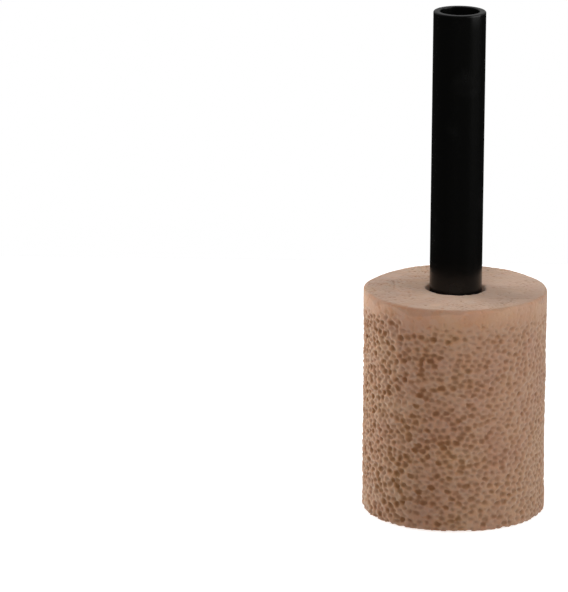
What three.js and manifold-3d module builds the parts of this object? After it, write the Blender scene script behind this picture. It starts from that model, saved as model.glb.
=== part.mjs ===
// Sponge filter for an aquarium or a small pond: a sleeve of open-cell foam pushed onto the lower
// end of a rigid riser tube. Water is drawn through the foam, goes in by the holes drilled through
// the tube inside it, and leaves by the open top of the tube.
//
// Millimetres, +Z up. The origin is the centre of the foam's lower face, which the filter stands on.

import * as THREE from "three";
import { mergeVertices } from "three/addons/utils/BufferGeometryUtils.js";
import Module from "manifold-3d";

const wasm = await Module();
wasm.setup();

// ---------------------------------------------------------------- driving dimensions

// Foam sleeve
const foamDiameter = 56;
const foamHeight = 70;
const foamEdgeRadius = 1; // the softened edge of each cut face
const foamMouthRadius = 0.9; // the worn edge where the tube goes in and out

// Riser tube
const tubeDiameter = 16;
const tubeWall = 2;
const tubeAboveFoam = 86; // what stands out of the foam's upper face
const tubeRecess = 1.5; // how far the lower end stops short of the foam's lower face
const rimOuterRadius = 0.8; // the tumbled edge of a sawn end, outside and inside
const rimInnerRadius = 0.3;

// Fit of the foam on the tube
const gripClearance = 0.3; // the gap all round in which the soft foam closes on the tube

// Intake holes, each row drilled straight through both walls of the tube
const intakeHoleDiameter = 5;
const intakeRowPitch = 8;
const intakeBottomMargin = 8.5; // plain tube below the lowest row
const intakeTopMargin = 10; // foam left above the highest row, so that water can't take a short cut
const rowTurn = Math.PI / 2; // each row is turned this far from the one below it
const countersink = 0.5; // how far the deburred mouth of a hole goes into the tube

// Fineness
const roundSegments = 72; // round the foam and the tube
const holeSegments = 24; // round a drilled hole
const edgeSegments = 4; // along a rounded edge
const drillOverrun = 2; // how far a drill runs past the tube's outside

// ---------------------------------------------------------------- derived sizes

const tubeRadius = tubeDiameter / 2;
const boreRadius = tubeRadius - tubeWall;
const foamBoreRadius = tubeRadius + gripClearance;
const tubeLength = foamHeight + tubeAboveFoam - tubeRecess;

// ---------------------------------------------------------------- helpers

// A quarter circle from one angle to the next, both included, in the (radius, height) plane.
function cornerArc(radius, height, fillet, fromAngle) {
  const points = [];
  for (let i = 0; i <= edgeSegments; i++) {
    const angle = fromAngle + (i / edgeSegments) * (Math.PI / 2);
    points.push(new THREE.Vector2(radius + fillet * Math.cos(angle), height + fillet * Math.sin(angle)));
  }
  return points;
}

// A ring with a hole down the middle, standing on z = 0: its section, with all four corners rounded,
// goes anticlockwise from the inner lower corner and closes on itself.
function roundedRing(innerRadius, outerRadius, height, innerFillet, outerFillet) {
  const section = [
    ...cornerArc(innerRadius + innerFillet, innerFillet, innerFillet, Math.PI),
    ...cornerArc(outerRadius - outerFillet, outerFillet, outerFillet, -Math.PI / 2),
    ...cornerArc(outerRadius - outerFillet, height - outerFillet, outerFillet, 0),
    ...cornerArc(innerRadius + innerFillet, height - innerFillet, innerFillet, Math.PI / 2),
  ];
  section.push(section[0].clone());
  return new THREE.LatheGeometry(section, roundSegments).rotateX(Math.PI / 2);
}

function solidFrom(geometry) {
  const bare = geometry.clone();
  bare.deleteAttribute("normal");
  bare.deleteAttribute("uv");
  const merged = mergeVertices(bare);
  const vertProperties = new Float32Array(merged.attributes.position.array);
  const triVerts = new Uint32Array(merged.index.array);
  return new wasm.Manifold(new wasm.Mesh({ numProp: 3, vertProperties, triVerts }));
}

function geometryFrom(solid) {
  const mesh = solid.getMesh();
  const geometry = new THREE.BufferGeometry();
  geometry.setAttribute("position", new THREE.BufferAttribute(mesh.vertProperties, 3));
  geometry.setIndex(new THREE.BufferAttribute(mesh.triVerts, 1));
  geometry.computeVertexNormals();
  return geometry;
}

// ---------------------------------------------------------------- parts

function foamSleeve() {
  return roundedRing(foamBoreRadius, foamDiameter / 2, foamHeight, foamMouthRadius, foamEdgeRadius);
}

// Heights of the rows above the foam's lower face: as many as fit at this pitch between the margins.
function intakeRowHeights() {
  const lowest = tubeRecess + intakeBottomMargin;
  const highest = foamHeight - intakeTopMargin;
  const rows = Math.max(1, Math.floor((highest - lowest) / intakeRowPitch) + 1);
  return Array.from({ length: rows }, (_, row) => lowest + row * intakeRowPitch);
}

// A drill across the tube at a height above the foam's lower face, turned about the tube's axis. It
// widens at 45 degrees near both ends, which deburrs the outer mouths of the two holes it makes.
function crossDrill(height, turn) {
  const radius = intakeHoleDiameter / 2;
  const flareStart = tubeRadius - countersink;
  const flare = countersink + drillOverrun;
  const section = [
    new THREE.Vector2(0, -flareStart - flare),
    new THREE.Vector2(radius + flare, -flareStart - flare),
    new THREE.Vector2(radius, -flareStart),
    new THREE.Vector2(radius, flareStart),
    new THREE.Vector2(radius + flare, flareStart + flare),
    new THREE.Vector2(0, flareStart + flare),
  ];
  return new THREE.LatheGeometry(section, holeSegments)
    .rotateZ(Math.PI / 2)
    .rotateZ(turn)
    .translate(0, 0, height - tubeRecess);
}

function riserTube() {
  let tube = solidFrom(roundedRing(boreRadius, tubeRadius, tubeLength, rimInnerRadius, rimOuterRadius));
  intakeRowHeights().forEach((height, row) => {
    tube = tube.subtract(solidFrom(crossDrill(height, row * rowTurn)));
  });
  return geometryFrom(tube);
}

// ---------------------------------------------------------------- materials

const foam = new THREE.MeshStandardMaterial({ color: 0xc3a08a, roughness: 0.95, metalness: 0 });
const blackPlastic = new THREE.MeshStandardMaterial({ color: 0x0c0c0b, roughness: 0.22, metalness: 0 });

// ---------------------------------------------------------------- assembly

function part(name, geometry, material, height) {
  const mesh = new THREE.Mesh(geometry, material);
  mesh.name = name;
  mesh.position.z = height;
  return mesh;
}

const spongeFilter = new THREE.Group();
spongeFilter.add(part("foam_sleeve", foamSleeve(), foam, 0));
spongeFilter.add(part("riser_tube", riserTube(), blackPlastic, tubeRecess));

export default spongeFilter;
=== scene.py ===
# %% [markdown]
# # A sponge filter: open-cell foam on a black riser tube
#
# The object is two pieces. A round sleeve of open-cell foam stands on the floor of a tank, and a
# rigid black tube is pushed down its middle. The solid model that MuJoCo moves is loaded first, as
# a fixed frame. Everything after that is made round it, in metres and in the same place, so that
# nothing has to be fitted at the end.

# %% Load the frame
import math

import bpy
from mathutils import Matrix, Vector


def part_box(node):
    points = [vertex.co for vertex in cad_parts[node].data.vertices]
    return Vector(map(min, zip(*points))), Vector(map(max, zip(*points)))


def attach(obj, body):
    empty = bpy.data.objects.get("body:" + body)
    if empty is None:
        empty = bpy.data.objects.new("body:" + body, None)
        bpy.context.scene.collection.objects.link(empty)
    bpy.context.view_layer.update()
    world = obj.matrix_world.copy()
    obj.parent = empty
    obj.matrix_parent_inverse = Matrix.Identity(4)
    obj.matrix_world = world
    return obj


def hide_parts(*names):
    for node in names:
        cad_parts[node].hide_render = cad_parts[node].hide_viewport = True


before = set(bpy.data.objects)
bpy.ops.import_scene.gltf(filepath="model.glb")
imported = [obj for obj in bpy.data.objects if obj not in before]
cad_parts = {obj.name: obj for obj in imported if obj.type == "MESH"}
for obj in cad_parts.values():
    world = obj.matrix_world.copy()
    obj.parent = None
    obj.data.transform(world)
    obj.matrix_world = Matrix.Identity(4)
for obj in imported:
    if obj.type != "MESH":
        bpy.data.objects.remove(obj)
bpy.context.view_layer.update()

foam_low, foam_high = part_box("foam_sleeve")
tube_low, tube_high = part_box("riser_tube")
MM = 0.001
foam_diameter = (foam_high.x - foam_low.x) / MM
foam_height = (foam_high.z - foam_low.z) / MM
tube_diameter = (tube_high.x - tube_low.x) / MM
tube_length = (tube_high.z - tube_low.z) / MM
tube_foot = tube_low.z / MM
print(f"foam {foam_diameter:.1f} x {foam_height:.1f} mm, tube {tube_diameter:.1f} x {tube_length:.1f} mm")

# %% [markdown]
# ## The camera
#
# A small thing looks right through a long lens from well back, because a near camera would swell
# whatever is closest to it. The camera looks down a little, so that the cut upper face of the foam
# shows as a flat ellipse, and it is aimed past the object, which then stands to the right.

# %% Place the camera
camera_distance = 1.832
camera_elevation = math.radians(14.65)
aim_left = math.radians(1.693)
aim_down = math.radians(0.107)
camera_roll = math.radians(0.44)
lens_mm = 364.9
sensor_mm = 36

away = Vector((0, -math.cos(camera_elevation), math.sin(camera_elevation)))
camera = bpy.data.objects.new("camera", bpy.data.cameras.new("camera"))
bpy.context.scene.collection.objects.link(camera)
camera.data.sensor_fit = "VERTICAL"
camera.data.sensor_height = sensor_mm
camera.data.lens = lens_mm
camera.data.clip_end = 20
camera.location = Vector((0, 0, foam_high.z)) + camera_distance * away
at_the_foam = (-away).to_track_quat("-Z", "Y").to_matrix()
turn = Matrix.Rotation(aim_left, 3, "Z")
tilt = Matrix.Rotation(-aim_down, 3, "X")
roll = Matrix.Rotation(camera_roll, 3, "Z")
camera.rotation_euler = (turn @ at_the_foam @ tilt @ roll).to_euler()
bpy.context.scene.camera = camera
print(f"camera {camera_distance} m away with a {lens_mm} mm lens")

# %% [markdown]
# ## Writing node trees as sums
#
# Geometry Nodes and materials are both trees of small boxes, and a formula such as
# `radius - distance` takes a box for each sign. One small class wraps an output socket, so that
# ordinary Python arithmetic puts the Math nodes in. One function adds every other kind of node.


# %% A socket that can be added and multiplied
class Value:
    """An output socket. Arithmetic on it adds Math nodes to its tree and gives their output."""

    def __init__(self, socket):
        self.socket = socket

    def math(self, operation, *operands, clamp=False):
        node = self.socket.id_data.nodes.new("ShaderNodeMath")
        node.operation = operation
        node.use_clamp = clamp
        for entry, operand in zip(node.inputs, operands):
            feed(entry, operand)
        return Value(node.outputs[0])

    def __add__(self, other):
        return self.math("ADD", self, other)

    def __radd__(self, other):
        return self.math("ADD", other, self)

    def __sub__(self, other):
        return self.math("SUBTRACT", self, other)

    def __rsub__(self, other):
        return self.math("SUBTRACT", other, self)

    def __mul__(self, other):
        return self.math("MULTIPLY", self, other)

    def __rmul__(self, other):
        return self.math("MULTIPLY", other, self)

    def __truediv__(self, other):
        return self.math("DIVIDE", self, other)

    def __rtruediv__(self, other):
        return self.math("DIVIDE", other, self)

    def least(self, other):
        return self.math("MINIMUM", self, other)

    def most(self, other):
        return self.math("MAXIMUM", self, other)

    def soft_least(self, other, rounding):
        return self.math("SMOOTH_MIN", self, other, rounding)

    def held(self):
        return self.math("ADD", self, 0, clamp=True)

    def rounded(self):
        return self.math("ROUND", self)


def feed(entry, given):
    """Puts a number, colour, data block or output into an input socket."""
    if isinstance(given, Value):
        entry.id_data.links.new(given.socket, entry)
    else:
        entry.default_value = given


def add(tree, kind, settings=None, entries=None, output=0):
    """Adds a node: its settings first, then its inputs by name or number. Gives one output."""
    node = tree.nodes.new(kind)
    for name, setting in (settings or {}).items():
        setattr(node, name, setting)
    for name, given in (entries or {}).items():
        feed(node.inputs[name], given)
    return Value(node.outputs[output])


# %% [markdown]
# A few nodes come again and again, so each gets a short name of its own.


# %% Short names for the usual nodes
def smooth_step(tree, value, start, end):
    """0 before start, 1 after end, and an even S between them."""
    return add(
        tree, "ShaderNodeMapRange", {"interpolation_type": "SMOOTHSTEP"},
        {"Value": value, "From Min": start, "From Max": end},
    )


def noise(tree, place, scale, detail, output=0):
    """A cloudy number round 0.5 that changes from place to place."""
    return add(
        tree, "ShaderNodeTexNoise", {"noise_dimensions": "3D"},
        {"Vector": place, "Scale": scale, "Detail": detail}, output,
    )


def coordinate(tree, place, axis):
    """One coordinate of a place."""
    return add(tree, "ShaderNodeSeparateXYZ", None, {0: place}, axis)


def vector(tree, x=0.0, y=0.0, z=0.0):
    """Three numbers as one vector."""
    return add(tree, "ShaderNodeCombineXYZ", None, {0: x, 1: y, 2: z})


def scaled_and_moved(tree, place, scale, shift):
    """A place multiplied by one vector, then shifted by another."""
    return add(
        tree, "ShaderNodeVectorMath", {"operation": "MULTIPLY_ADD"}, {0: place, 1: scale, 2: shift}
    )


def transformed(tree, shape, **entries):
    """A shape with a Translation, Rotation or Scale."""
    return add(tree, "GeometryNodeTransform", None, {"Geometry": shape, **entries})


def between(low, high, share):
    """The number that is this share of the way from low to high."""
    return low + (high - low) * share


# %% [markdown]
# Every tree starts the same way: a list of named sizes goes in, and a shape comes out. A modifier
# is set by each input's identifier and not by its name, because two inputs may share a name. The
# finished shape is taken from the evaluated object as a plain mesh, and the modifier goes.


# %% Start a tree, and turn it into a mesh
def shape_tree(name, sizes, starts_from_a_shape=False):
    """A Geometry Nodes tree with these named sizes. Gives the tree and its inputs as Values."""
    tree = bpy.data.node_groups.new(name, "GeometryNodeTree")
    if starts_from_a_shape:
        tree.interface.new_socket("Start", in_out="INPUT", socket_type="NodeSocketGeometry")
    for size_name, size in sizes.items():
        kind = "NodeSocketInt" if isinstance(size, int) else "NodeSocketFloat"
        tree.interface.new_socket(size_name, in_out="INPUT", socket_type=kind)
    tree.interface.new_socket("Material", in_out="INPUT", socket_type="NodeSocketMaterial")
    tree.interface.new_socket("Shape", in_out="OUTPUT", socket_type="NodeSocketGeometry")
    entrance = tree.nodes.new("NodeGroupInput")
    return tree, {socket.name: Value(socket) for socket in entrance.outputs if socket.name}


def close_tree(tree, shape, material):
    """The end of every tree: real geometry, with its material."""
    shape = add(tree, "GeometryNodeRealizeInstances", None, {"Geometry": shape})
    shape = add(tree, "GeometryNodeSetMaterial", None, {"Geometry": shape, "Material": material})
    exit_node = tree.nodes.new("NodeGroupOutput")
    feed(exit_node.inputs[0], shape)
    print(f"{tree.name} tree: {len(tree.nodes)} nodes")


def mesh_from(tree, name, sizes, material, start=None):
    """Runs the tree on a mesh, or on an empty one, and gives an object that holds the result."""
    piece = bpy.data.objects.new(name, start or bpy.data.meshes.new(name))
    bpy.context.scene.collection.objects.link(piece)
    modifier = piece.modifiers.new("shape", "NODES")
    modifier.node_group = tree
    settings = {**sizes, "Material": material}
    for item in tree.interface.items_tree:
        if item.in_out == "INPUT" and item.name in settings:
            modifier[item.identifier] = settings[item.name]
    depsgraph = bpy.context.evaluated_depsgraph_get()
    made = bpy.data.meshes.new_from_object(piece.evaluated_get(depsgraph), depsgraph=depsgraph)
    piece.modifiers.remove(modifier)
    piece.data = made
    made.name = name
    print(f"{name}: {len(made.vertices)} points, {len(made.polygons)} faces")
    return piece


# %% [markdown]
# ## The foam's shape
#
# Filter foam is a block of bubbles that have burst into each other. Where the sleeve is cut, each
# bubble shows as a round pit, and a soft brim is left between it and the next. A bump map can't
# show that, because the pits cut into the outline too, and there are too many to model by hand.
#
# So the foam is made as a solid field: a number at every point of space, in millimetres, that is
# positive inside the foam. The plain sleeve is one such number, how far a place is inside its
# nearest wall. Each pit is another, and the smaller of the two is a sleeve with pits in it. A
# Volume Cube samples the field on a grid, and Volume to Mesh draws the surface at its zero.

# %% The foam's sizes, in millimetres
top_gap = 0.2
bore_gap = 0.9
foam_sizes = {
    "Diameter": foam_diameter,
    "Height": foam_height - top_gap,
    "Floor gap": 0.15,
    "Bore": tube_diameter + bore_gap,
    "Mouth depth": 2.0,
    "Mouth flare": 0.6,
    "Mouth raggedness": 2.0,
    "Edge rounding": 1.2,
    "Waviness": 0.4,
    "Cell spacing": 2.0,
    "Narrowest cell": 1.08,
    "Widest cell": 1.5,
    "Cell flattening": 1.28,
    "Finer side": 0.5,
    "Dot spacing": 1.1,
    "Narrowest dot": 0.3,
    "Widest dot": 0.6,
    "Patchiness": 0.3,
    "Shallow slope": 1.1,
    "Deep slope": 0.75,
    "Brim rounding": 0.35,
    "Upper skin": 8.0,
    "Skin unevenness": 8.0,
    "Lower skin": 0.4,
    "Cell skin": 1.5,
    "Dot skin": 0.05,
    "Grid step": 0.36,
}
cell_seed = 11
dot_seed = 29
print(f"pits {foam_sizes['Cell spacing']} mm apart, sampled every {foam_sizes['Grid step']} mm")

# %% [markdown]
# The plain sleeve is cut from soft foam, so its walls wave a little. Its edges are rounded, and the
# mouths of its bore are a little torn, because the tube is pushed in and out through them. The
# scale of a noise says how often it changes, here in each millimetre.

# %% The plain sleeve
wave_scale = 0.06
ragged_scale = 0.45
ragged_middle = 0.45


def plain_sleeve(tree, size, place, height):
    """How far each place is inside the sleeve, and how far it is below the upper face."""
    flat = add(tree, "ShaderNodeVectorMath", {"operation": "MULTIPLY"}, {0: place, 1: (1, 1, 0)})
    radius = add(tree, "ShaderNodeVectorMath", {"operation": "LENGTH"}, {0: flat}, "Value")
    wave = (noise(tree, place, wave_scale, 1.0) - 0.5) * size["Waviness"] * 2
    side = size["Diameter"] / 2 - radius + wave
    upper = size["Height"] - height + wave
    ends = (height - size["Floor gap"]).least(upper)
    outside = side.soft_least(ends, size["Edge rounding"])
    near_the_mouth = (1 - ends / size["Mouth depth"]).held()
    ragged = noise(tree, place, ragged_scale, 2.0) - ragged_middle
    flare = near_the_mouth * (size["Mouth flare"] + size["Mouth raggedness"] * ragged)
    bore = radius - size["Bore"] / 2 - flare
    return outside.soft_least(bore, size["Mouth flare"]), upper


print(f"walls wave by up to {foam_sizes['Waviness']} mm")

# %% [markdown]
# Bubbles of foam press each other into an even spacing, never very close and never far apart.
# Poisson points have just that spacing. They are strewn on a blank, a plain cylinder as large as
# the sleeve, and each place looks up the point nearest to it. The point's index gives a random
# number of its own, which sets how wide and deep its pit is. The blank is stretched upwards and
# the places with it, and a cloudy shift is added, so that the pits come out flattened and uneven.

# %% Strewn points, and the nearest one
blank_sides = 120
tries_per_mm2 = 4.0
crooked_scale = 0.55
crookedness = 0.8


def blank_cylinder(tree, size):
    """The side and ends of the sleeve, as tall as the stretched places are."""
    tall = size["Height"] * size["Cell flattening"]
    blank = add(
        tree, "GeometryNodeMeshCylinder", None,
        {"Vertices": blank_sides, "Radius": size["Diameter"] / 2, "Depth": tall},
    )
    return transformed(tree, blank, Translation=vector(tree, z=tall / 2))


def uneven_place(tree, size, place):
    """Each place stretched upwards, and shifted any way by up to the crookedness."""
    cloud = noise(tree, place, crooked_scale, 1.0, "Color")
    shift = scaled_and_moved(tree, cloud, (2 * crookedness,) * 3, (-crookedness,) * 3)
    return scaled_and_moved(tree, place, vector(tree, 1, 1, size["Cell flattening"]), shift)


def nearest_strewn(tree, blank, spacing, place, seed):
    """The distance to the nearest strewn point, and that point's own number from 0 to 1."""
    points = add(
        tree, "GeometryNodeDistributePointsOnFaces", {"distribute_method": "POISSON"},
        {"Mesh": blank, "Distance Min": spacing, "Density Max": tries_per_mm2, "Seed": seed},
    )
    index = add(
        tree, "GeometryNodeSampleNearest", {"domain": "POINT"},
        {"Geometry": points, "Sample Position": place},
    )
    middle = add(
        tree, "GeometryNodeSampleIndex", {"data_type": "FLOAT_VECTOR", "domain": "POINT"},
        {"Geometry": points, "Value": add(tree, "GeometryNodeInputPosition"), "Index": index},
    )
    distance = add(
        tree, "ShaderNodeVectorMath", {"operation": "DISTANCE"}, {0: place, 1: middle}, "Value"
    )
    number = add(
        tree, "FunctionNodeRandomValue", {"data_type": "FLOAT"}, {"ID": index, "Seed": seed}, 1
    )
    return distance, number


print(f"points {foam_sizes['Cell spacing']} mm apart or more, places shifted by up to {crookedness} mm")

# %% [markdown]
# A pit is as wide as its reach where the foam is cut, and it narrows with depth by its slope. The
# foam isn't the same all over. Near the upper face it has a skin, as foam has where it was
# moulded, and the pits close up in it. They are wider in some patches than in others, and finer
# towards one side. A second set, of tiny dots that are closer together, goes on into the skin.

# %% The pits
patch_scale = 0.09
skin_from = 0.5
foot_from = -0.5
finer_from = -0.3
finer_to = 0.8


def cut_pits(tree, size, place, sleeve, height, upper):
    """The sleeve with its pits, the number of each place's pit, and how much skin is there."""
    patch = noise(tree, place, patch_scale, 1.0) - 0.5
    below_the_top = smooth_step(
        tree, upper + patch * size["Skin unevenness"], skin_from, size["Upper skin"]
    )
    above_the_foot = smooth_step(tree, height, foot_from, size["Lower skin"])
    skin = 1 - below_the_top * above_the_foot
    depth = sleeve.most(0)
    blank = blank_cylinder(tree, size)
    crooked = uneven_place(tree, size, place)

    distance, number = nearest_strewn(tree, blank, size["Cell spacing"], crooked, cell_seed)
    sideways = coordinate(tree, place, "X") / size["Diameter"] * 2
    number = number * (1 - size["Finer side"] * smooth_step(tree, sideways, finer_from, finer_to))
    reach = between(size["Narrowest cell"], size["Widest cell"], number) + size["Patchiness"] * patch
    slope = between(size["Shallow slope"], size["Deep slope"], number)
    cell = reach - distance - skin * size["Cell skin"] - depth * slope

    distance, dot_number = nearest_strewn(tree, blank, size["Dot spacing"], crooked, dot_seed)
    reach = between(size["Narrowest dot"], size["Widest dot"], dot_number)
    dot = reach - distance - skin * size["Dot skin"] - depth * size["Deep slope"]

    foam = sleeve.soft_least(cell * -1, size["Brim rounding"])
    foam = foam.soft_least(dot * -1, size["Brim rounding"] / 2)
    return foam, number, skin


print(f"pits reach {foam_sizes['Narrowest cell']} to {foam_sizes['Widest cell']} mm from their middles")

# %% [markdown]
# The grid reaches three steps past the sleeve on every side, so that the surface closes. The field
# is turned into a density that goes from 0 to 1 across three steps, because the surface is smooth
# only where the density changes gradually. A bubble that is closed all round would leave a loose
# shell inside the foam, so only the largest connected surface is kept.

# %% The surface
soft_steps = 3


def drawn_surface(tree, size, foam):
    """The foam's field on a grid, and the surface where it is zero."""
    step = size["Grid step"]
    margin = step * soft_steps
    half = size["Diameter"] / 2 + margin
    top = size["Height"] + margin
    across = (half * 2 / step).rounded()
    cube = add(
        tree, "GeometryNodeVolumeCube", None,
        {"Density": (0.5 + foam / margin).held(), "Background": 0.0,
         "Min": vector(tree, half * -1, half * -1, margin * -1), "Max": vector(tree, half, half, top),
         "Resolution X": across, "Resolution Y": across, "Resolution Z": (top + margin) / step},
    )
    return add(
        tree, "GeometryNodeVolumeToMesh", {"resolution_mode": "GRID"},
        {"Volume": cube, "Threshold": 0.5, "Adaptivity": 0.0},
    )


def largest_island(tree, surface):
    """The connected surface that has the most points."""
    count = add(
        tree, "GeometryNodeAccumulateField", {"data_type": "INT", "domain": "POINT"},
        {"Value": 1, "Group ID": add(tree, "GeometryNodeInputMeshIsland")}, "Total",
    )
    biggest = add(
        tree, "GeometryNodeAttributeStatistic", {"data_type": "FLOAT", "domain": "POINT"},
        {"Geometry": surface, "Attribute": count}, "Max",
    )
    loose = add(
        tree, "FunctionNodeCompare", {"data_type": "FLOAT", "operation": "LESS_THAN"},
        {0: count, 1: biggest},
    )
    return add(
        tree, "GeometryNodeDeleteGeometry", {"domain": "POINT"},
        {"Geometry": surface, "Selection": loose},
    )


steps_across = foam_sizes["Diameter"] / foam_sizes["Grid step"]
print(f"the grid has about {steps_across:.0f} steps across the foam")

# %% [markdown]
# The tree puts these together. It also leaves three numbers on the surface for the material: how
# deep each point is under the plain sleeve, its pit's number, and how much skin is there. The
# sizes are in millimetres, because a grid in metres would have very small steps, and the last step
# scales the shape to metres.


# %% The foam's tree
def foam_tree():
    """The whole foam sleeve, in metres."""
    tree, size = shape_tree("foam sleeve", foam_sizes)
    place = add(tree, "GeometryNodeInputPosition")
    height = coordinate(tree, place, "Z")
    sleeve, upper = plain_sleeve(tree, size, place, height)
    foam, number, skin = cut_pits(tree, size, place, sleeve, height, upper)
    surface = largest_island(tree, drawn_surface(tree, size, foam))
    for name, field in (("pit_depth", sleeve), ("pit_number", number), ("skin", skin)):
        surface = add(
            tree, "GeometryNodeStoreNamedAttribute", {"data_type": "FLOAT", "domain": "POINT"},
            {"Geometry": surface, "Name": name, "Value": field},
        )
    surface = add(tree, "GeometryNodeSetShadeSmooth", None, {"Geometry": surface})
    close_tree(tree, transformed(tree, surface, Scale=(MM, MM, MM)), size["Material"])
    return tree


# %% [markdown]
# ## The foam's colour
#
# The foam is one dyed plastic all through, so its colour hardly varies. What the eye reads as
# dark pits is light that has bounced several times between pinkish walls and has lost its blue and
# green on the way. The shape gives most of that, with some light let through the thin walls. The
# material paints in the rest from the numbers that the tree has stored: pale brims, painted shade
# that darkens and browns the pits with their depth, a paler pink in the skin, and painted shade
# that darkens the upper face itself.

# %% The foam's colours
brim_colour = (0.435, 0.252, 0.155, 1)
# Painted shade: the colour deep in the pits.
pit_shade_colour = (0.225, 0.11, 0.057, 1)
skin_colour = (0.53, 0.31, 0.2, 1)
skin_cover = 0.85
shade_full_depth_mm = 0.7
print(f"brims {brim_colour[:3]}, pits {pit_shade_colour[:3]}, skin {skin_colour[:3]}")


# %% Start and close a material
def empty_material(name):
    """A material without nodes, and its tree."""
    material = bpy.data.materials.new(name)
    material.use_nodes = True
    material.node_tree.nodes.clear()
    return material, material.node_tree


def close_material(material, surface):
    """The end of every material: its surface."""
    nodes = material.node_tree.nodes
    feed(nodes.new("ShaderNodeOutputMaterial").inputs["Surface"], surface)
    print(f"{material.name}: {len(nodes)} nodes")


def mixed(tree, share, first, second):
    """A colour that is this share of the way from the first to the second."""
    return add(
        tree, "ShaderNodeMix", {"data_type": "RGBA"}, {"Factor": share, 6: first, 7: second}, 2
    )


# %% [markdown]
# Three noises break the colour up: blotches of a centimetre or more, a mottle about as fine as the
# pits, and a grain like the walls between the smallest bubbles. Object coordinates are in metres,
# so here a noise's scale says how often it changes in each metre.

# %% The foam's material
blotch_scale = 70.0
mottle_scale = 420.0
grain_scale = 1900.0


def foam_material():
    """Dyed foam that lets some light through its thin walls."""
    material, tree = empty_material("pinkish foam")
    depth, number, skin = (
        add(tree, "ShaderNodeAttribute", {"attribute_name": name}, None, "Fac")
        for name in ("pit_depth", "pit_number", "skin")
    )
    place = add(tree, "ShaderNodeTexCoord", None, None, "Object")
    blotch = noise(tree, place, blotch_scale, 2.0)
    mottle = noise(tree, place, mottle_scale, 2.0)
    grain = noise(tree, place, grain_scale, 3.0)
    # Painted shade: the colour darkens and browns with depth into each pit, more in some pits than in
    # others.
    pit = smooth_step(tree, depth, 0.0, shade_full_depth_mm)
    colour = mixed(tree, pit * between(0.45, 1.0, number), brim_colour, pit_shade_colour)
    colour = mixed(tree, skin * skin_cover, colour, skin_colour)
    brightness = 0.81 + 0.18 * blotch + 0.1 * grain + 0.12 * mottle
    # Painted shade: the upper face itself is made 13 percent darker.
    upper_face_shade = 1 - 0.13 * smooth_step(tree, skin, 0.96, 1.0)
    colour = add(
        tree, "ShaderNodeHueSaturation", None,
        {"Hue": 0.488 + 0.024 * blotch, "Saturation": 0.93 + 0.16 * number,
         "Value": brightness * upper_face_shade, "Color": colour},
    )
    bump = add(tree, "ShaderNodeBump", None, {"Strength": 0.35, "Distance": 0.0002, "Height": grain})
    surface = add(
        tree, "ShaderNodeBsdfPrincipled", {"subsurface_method": "RANDOM_WALK"},
        {"Base Color": colour, "Roughness": 0.85, "Specular IOR Level": 0.2,
         "Subsurface Weight": 0.5, "Subsurface Radius": (1.0, 0.6, 0.4),
         "Subsurface Scale": 0.0018, "Sheen Weight": 0.5, "Sheen Roughness": 0.5,
         "Sheen Tint": (1.0, 0.82, 0.7, 1), "Normal": bump},
    )
    close_material(material, surface)
    return material


# %% Make the foam sleeve
pinkish_foam = foam_material()
foam = mesh_from(foam_tree(), "foam", foam_sizes, pinkish_foam)

# %% [markdown]
# ## The riser tube
#
# Riser tube is extruded in long lengths and sawn. Its ends are tumbled, so that their rounded rims
# catch the light. Such a piece is turned: one outline of the wall, spun about the axis. The outline
# has a point every few millimetres up the wall as well as round the rims, so that the drilling
# further on disturbs only the faces near it, and the gloss above stays even.

# %% The tube's sizes, in millimetres
tube_wall = 2.0
outer_rim = 0.5
inner_rim = 0.3
rim_steps = 6
ring_height = 4.0
tube_steps = 160
print(f"wall {tube_wall} mm, rims rounded {outer_rim} mm outside and {inner_rim} mm inside")


# %% Turn the tube
def rim_arc(centre_radius, centre_height, rounding, start):
    """A quarter circle of (radius, height) points, from the start angle on."""
    angles = [start + math.pi / 2 * step / rim_steps for step in range(rim_steps + 1)]
    return [
        (centre_radius + rounding * math.cos(angle), centre_height + rounding * math.sin(angle))
        for angle in angles
    ]


def wall_between(radius, start, end):
    """Points up or down a straight wall, without its two ends."""
    steps = max(1, round(abs(end - start) / ring_height))
    return [(radius, start + (end - start) * step / steps) for step in range(1, steps)]


def tube_outline():
    """The section of the wall, anticlockwise from the inner corner of its foot."""
    outside = tube_diameter / 2
    inside = outside - tube_wall
    foot = tube_foot
    top = tube_foot + tube_length
    return [
        *rim_arc(inside + inner_rim, foot + inner_rim, inner_rim, math.pi),
        *rim_arc(outside - outer_rim, foot + outer_rim, outer_rim, -math.pi / 2),
        *wall_between(outside, foot + outer_rim, top - outer_rim),
        *rim_arc(outside - outer_rim, top - outer_rim, outer_rim, 0),
        *rim_arc(inside + inner_rim, top - inner_rim, inner_rim, math.pi / 2),
        *wall_between(inside, top - inner_rim, foot + inner_rim),
    ]


def turned(name, outline, steps):
    """A closed ring: the outline, in millimetres, spun once about the Z axis."""
    points = []
    faces = []
    count = len(outline)
    for step in range(steps):
        angle = 2 * math.pi * step / steps
        for radius, height in outline:
            points.append((radius * math.cos(angle) * MM, radius * math.sin(angle) * MM, height * MM))
        here = step * count
        there = (step + 1) % steps * count
        for first in range(count):
            second = (first + 1) % count
            faces.append((here + first, there + first, there + second, here + second))
    mesh = bpy.data.meshes.new(name)
    mesh.from_pydata(points, [], faces)
    print(f"{name}: {len(faces)} faces")
    return mesh


# %% [markdown]
# ## The intake holes
#
# Inside the foam the tube is drilled straight through, and each row is a quarter turn from the one
# below. The holes repeat by a rule, so Geometry Nodes drill them: a line of points, one for each
# row, carries a copy of the drill, and one Boolean takes them all out of the tube. The drill is a
# cylinder with a cone at each end, because a drilled hole in a tube is deburred with a countersink.

# %% The drilling's sizes, in millimetres
plain_foot = 8.5
drill_sizes = {
    "Tube diameter": tube_diameter,
    "Hole diameter": 5.0,
    "First row": tube_foot + plain_foot,
    "Row pitch": 8.0,
    "Rows": 7,
    "Countersink": 0.5,
}
drill_overrun = 4
drill_sides = 48
print(f"{drill_sizes['Rows']} rows of two {drill_sizes['Hole diameter']} mm holes")


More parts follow.
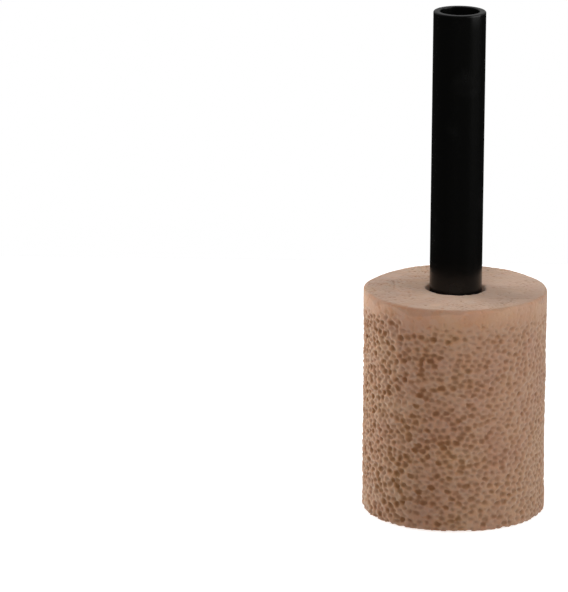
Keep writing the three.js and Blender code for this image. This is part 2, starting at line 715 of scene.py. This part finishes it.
# %% The drill
def drill_tools(tree, size):
    """The drill and its two countersinks, lying along Z, with the tube's axis at 0."""
    hole = size["Hole diameter"] / 2
    outside = size["Tube diameter"] / 2
    drill = add(
        tree, "GeometryNodeMeshCylinder", None,
        {"Vertices": drill_sides, "Radius": hole, "Depth": outside * 2 + drill_overrun},
    )
    # The cone starts narrower than the hole, inside it, and widens by as much as it is long
    reach = size["Countersink"] * 3
    tip = hole - size["Countersink"]
    cone = add(
        tree, "GeometryNodeMeshCone", None,
        {"Vertices": drill_sides, "Radius Bottom": tip, "Radius Top": tip + reach, "Depth": reach},
    )
    start = outside - size["Countersink"] * 2
    ends = [
        transformed(tree, cone, Translation=vector(tree, z=start * side), Rotation=tilt)
        for side, tilt in ((1, (0, 0, 0)), (-1, (math.pi, 0, 0)))
    ]
    return [drill, *ends]


# %% [markdown]
# The Boolean works in millimetres, because its exact solver takes points that are nearly together
# for one. Edges sharper than 30 degrees stay sharp, and the rest of the tube is shaded smooth.

# %% The drilling's tree
sharpest_smooth_edge = math.radians(30)


def drilling_tree():
    """The tube with its rows of holes, in metres."""
    tree, size = shape_tree("drilled rows", drill_sizes, starts_from_a_shape=True)
    rows = add(
        tree, "GeometryNodeMeshLine", {"mode": "OFFSET"},
        {"Count": size["Rows"], "Start Location": vector(tree, z=size["First row"]),
         "Offset": vector(tree, z=size["Row pitch"])},
    )
    row = add(tree, "GeometryNodeInputIndex")
    across = vector(tree, y=math.pi / 2, z=row * (math.pi / 2))
    in_mm = transformed(tree, size["Start"], Scale=(1 / MM, 1 / MM, 1 / MM))
    drilled = tree.nodes.new("GeometryNodeMeshBoolean")
    drilled.operation = "DIFFERENCE"
    drilled.solver = "EXACT"
    feed(drilled.inputs["Mesh 1"], in_mm)
    for tool in drill_tools(tree, size):
        copies = add(
            tree, "GeometryNodeInstanceOnPoints", None,
            {"Points": rows, "Instance": tool, "Rotation": across},
        )
        cutter = add(tree, "GeometryNodeRealizeInstances", None, {"Geometry": copies})
        feed(drilled.inputs["Mesh 2"], cutter)
    shape = transformed(tree, Value(drilled.outputs["Mesh"]), Scale=(MM, MM, MM))
    shape = add(tree, "GeometryNodeSetShadeSmooth", None, {"Geometry": shape})
    sharp = add(
        tree, "FunctionNodeCompare", {"data_type": "FLOAT", "operation": "GREATER_THAN"},
        {0: add(tree, "GeometryNodeInputMeshEdgeAngle"), 1: sharpest_smooth_edge},
    )
    shape = add(
        tree, "GeometryNodeSetShadeSmooth", {"domain": "EDGE"},
        {"Geometry": shape, "Selection": sharp, "Shade Smooth": False},
    )
    close_tree(tree, shape, size["Material"])
    return tree


# %% [markdown]
# ## The tube's black plastic
#
# Gloss black plastic has almost no colour of its own. It is seen by what it mirrors, so the finish
# is in its roughness and its relief: very faint lines along it from the extrusion die, dull patches
# from handling, and a scuffed band where the foam is pushed on and off.

# %% The tube's colours
clean_black = (0.0022, 0.0022, 0.002, 1)
scuffed_black = (0.011, 0.011, 0.01, 1)
print(f"clean plastic {clean_black[:3]}, scuffed plastic {scuffed_black[:3]}")

# %% The tube's material
line_scale = 900.0
line_stretch = 0.02
handling_scale = 90.0
scuff_fade = 0.004


def tube_material():
    """Extruded gloss plastic, scuffed where the foam grips it."""
    material, tree = empty_material("gloss black plastic")
    place = add(tree, "ShaderNodeTexCoord", None, None, "Object")
    stretched = add(
        tree, "ShaderNodeVectorMath", {"operation": "MULTIPLY"}, {0: place, 1: (1, 1, line_stretch)}
    )
    lines = noise(tree, stretched, line_scale, 3.0)
    handling = noise(tree, place, handling_scale, 4.0)
    height = coordinate(tree, place, "Z")
    in_foam = 1 - smooth_step(tree, height, foam_high.z - scuff_fade, foam_high.z + scuff_fade)
    scuffs = smooth_step(tree, handling, 0.5, 0.72) * (0.3 + 0.7 * in_foam)
    roughness = 0.2 + 0.06 * lines + 0.16 * scuffs
    bump = add(tree, "ShaderNodeBump", None, {"Strength": 0.12, "Distance": 0.0001, "Height": lines})
    surface = add(
        tree, "ShaderNodeBsdfPrincipled", None,
        {"Base Color": mixed(tree, scuffs * 0.6, clean_black, scuffed_black),
         "Roughness": roughness, "Specular IOR Level": 0.3, "Normal": bump},
    )
    close_material(material, surface)
    return material


# %% Make the riser tube
black_plastic = tube_material()
tube_blank = turned("tube blank", tube_outline(), tube_steps)
tube = mesh_from(drilling_tree(), "tube", drill_sizes, black_plastic, tube_blank)

# %% [markdown]
# ## The floor
#
# The floor is one pale sheet that glows a little, like a light table, so that it is as white as
# the background. A white sheet would throw its light up into the foam's lower half, and gloss
# plastic would mirror it from top to bottom. It is kept out of both, and the world gives an even
# light from below in its place.

# %% Lay the floor
floor_side = 0.35
floor_front = -0.16
floor_back = 0.3
paper = {
    "Base Color": (0.9, 0.9, 0.9, 1),
    "Roughness": 1.0,
    "Specular IOR Level": 0.0,
    "Emission Color": (1, 1, 1, 1),
    "Emission Strength": 0.62,
}
floor_mesh = bpy.data.meshes.new("floor")
floor_mesh.from_pydata(
    [(-floor_side, floor_front, 0), (floor_side, floor_front, 0),
     (floor_side, floor_back, 0), (-floor_side, floor_back, 0)],
    [], [(0, 1, 2, 3)],
)
floor = bpy.data.objects.new("floor", floor_mesh)
bpy.context.scene.collection.objects.link(floor)
pale_paper, paper_tree = empty_material("pale paper")
close_material(pale_paper, add(paper_tree, "ShaderNodeBsdfPrincipled", None, paper))
floor.data.materials.append(pale_paper)
floor.visible_diffuse = False
floor.visible_glossy = False
print(f"floor {floor_side * 2:.2f} x {floor_back - floor_front:.2f} m")

# %% [markdown]
# ## The lights
#
# Four soft boxes stand round the filter. The front fill is low and nearly in line with the camera,
# so that it gets into the pits. The key light is on the right. The other two stand behind the foam
# on either side, and make its edges lighter than its middle. Only the key light shows in the gloss
# of the tube, as one dim band: a black tube that mirrors white boxes on all sides looks grey.

# %% Hang the lights
light_distance = 0.9
light_aim = Vector((0, 0, 0.06))


def soft_box(name, azimuth, elevation, size, power, in_reflections=False):
    """A square light that faces the foam, from azimuth degrees to the right of the camera."""
    light = bpy.data.objects.new(name, bpy.data.lights.new(name, "AREA"))
    bpy.context.scene.collection.objects.link(light)
    light.data.shape = "RECTANGLE"
    light.data.size = size
    light.data.size_y = size
    light.data.energy = power
    light.visible_camera = False
    light.visible_glossy = in_reflections
    turn = math.radians(azimuth - 90)
    rise = math.radians(elevation)
    out = Vector((math.cos(turn) * math.cos(rise), math.sin(turn) * math.cos(rise), math.sin(rise)))
    light.location = light_aim + light_distance * out
    light.rotation_euler = (-out).to_track_quat("-Z", "Y").to_euler()
    print(f"{name}: {power} W from {azimuth} degrees, {elevation} degrees up")


soft_box("key light", 78, 25, 0.8, 4.7, in_reflections=True)
soft_box("left light", -120, 10, 0.6, 8.4)
soft_box("right back light", 125, 15, 0.5, 1.2)
soft_box("front fill", -8, 12, 0.8, 5.3)

# %% [markdown]
# ## The world
#
# The world is white where the camera sees it. As a light it is dim: a little from the sky, more of
# it from behind, almost nothing near the horizon, which is what the tube mirrors, and a good deal
# from straight below, where a pale table would be.

# %% Light the world
horizon_light = 0.015
sky_light = 0.06
back_light = 0.25
table_light = 0.9

world = bpy.data.worlds.new("studio")
bpy.context.scene.world = world
world.use_nodes = True
sky = world.node_tree
direction = add(sky, "ShaderNodeTexCoord", None, None, "Generated")
behind = coordinate(sky, direction, "Y")
above = coordinate(sky, direction, "Z")
open_sky = smooth_step(sky, above, -0.05, 0.2)
fill = horizon_light + open_sky * (sky_light + back_light * smooth_step(sky, behind, -0.2, 0.7))
fill = fill + table_light * smooth_step(sky, above, -0.4, -0.6)
seen = add(sky, "ShaderNodeLightPath", None, None, "Is Camera Ray")
background = sky.nodes["Background"]
background.inputs["Color"].default_value = (1, 1, 1, 1)
feed(background.inputs["Strength"], fill + seen * (1.0 - fill))
bpy.context.scene.view_settings.view_transform = "Standard"
print(f"world: {len(sky.nodes)} nodes")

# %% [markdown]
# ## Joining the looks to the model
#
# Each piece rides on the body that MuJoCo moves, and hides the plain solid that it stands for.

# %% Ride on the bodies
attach(foam, "sponge")
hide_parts("foam_sleeve")
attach(tube, "riser")
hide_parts("riser_tube")
print("the foam rides on the sponge, the tube on the riser")
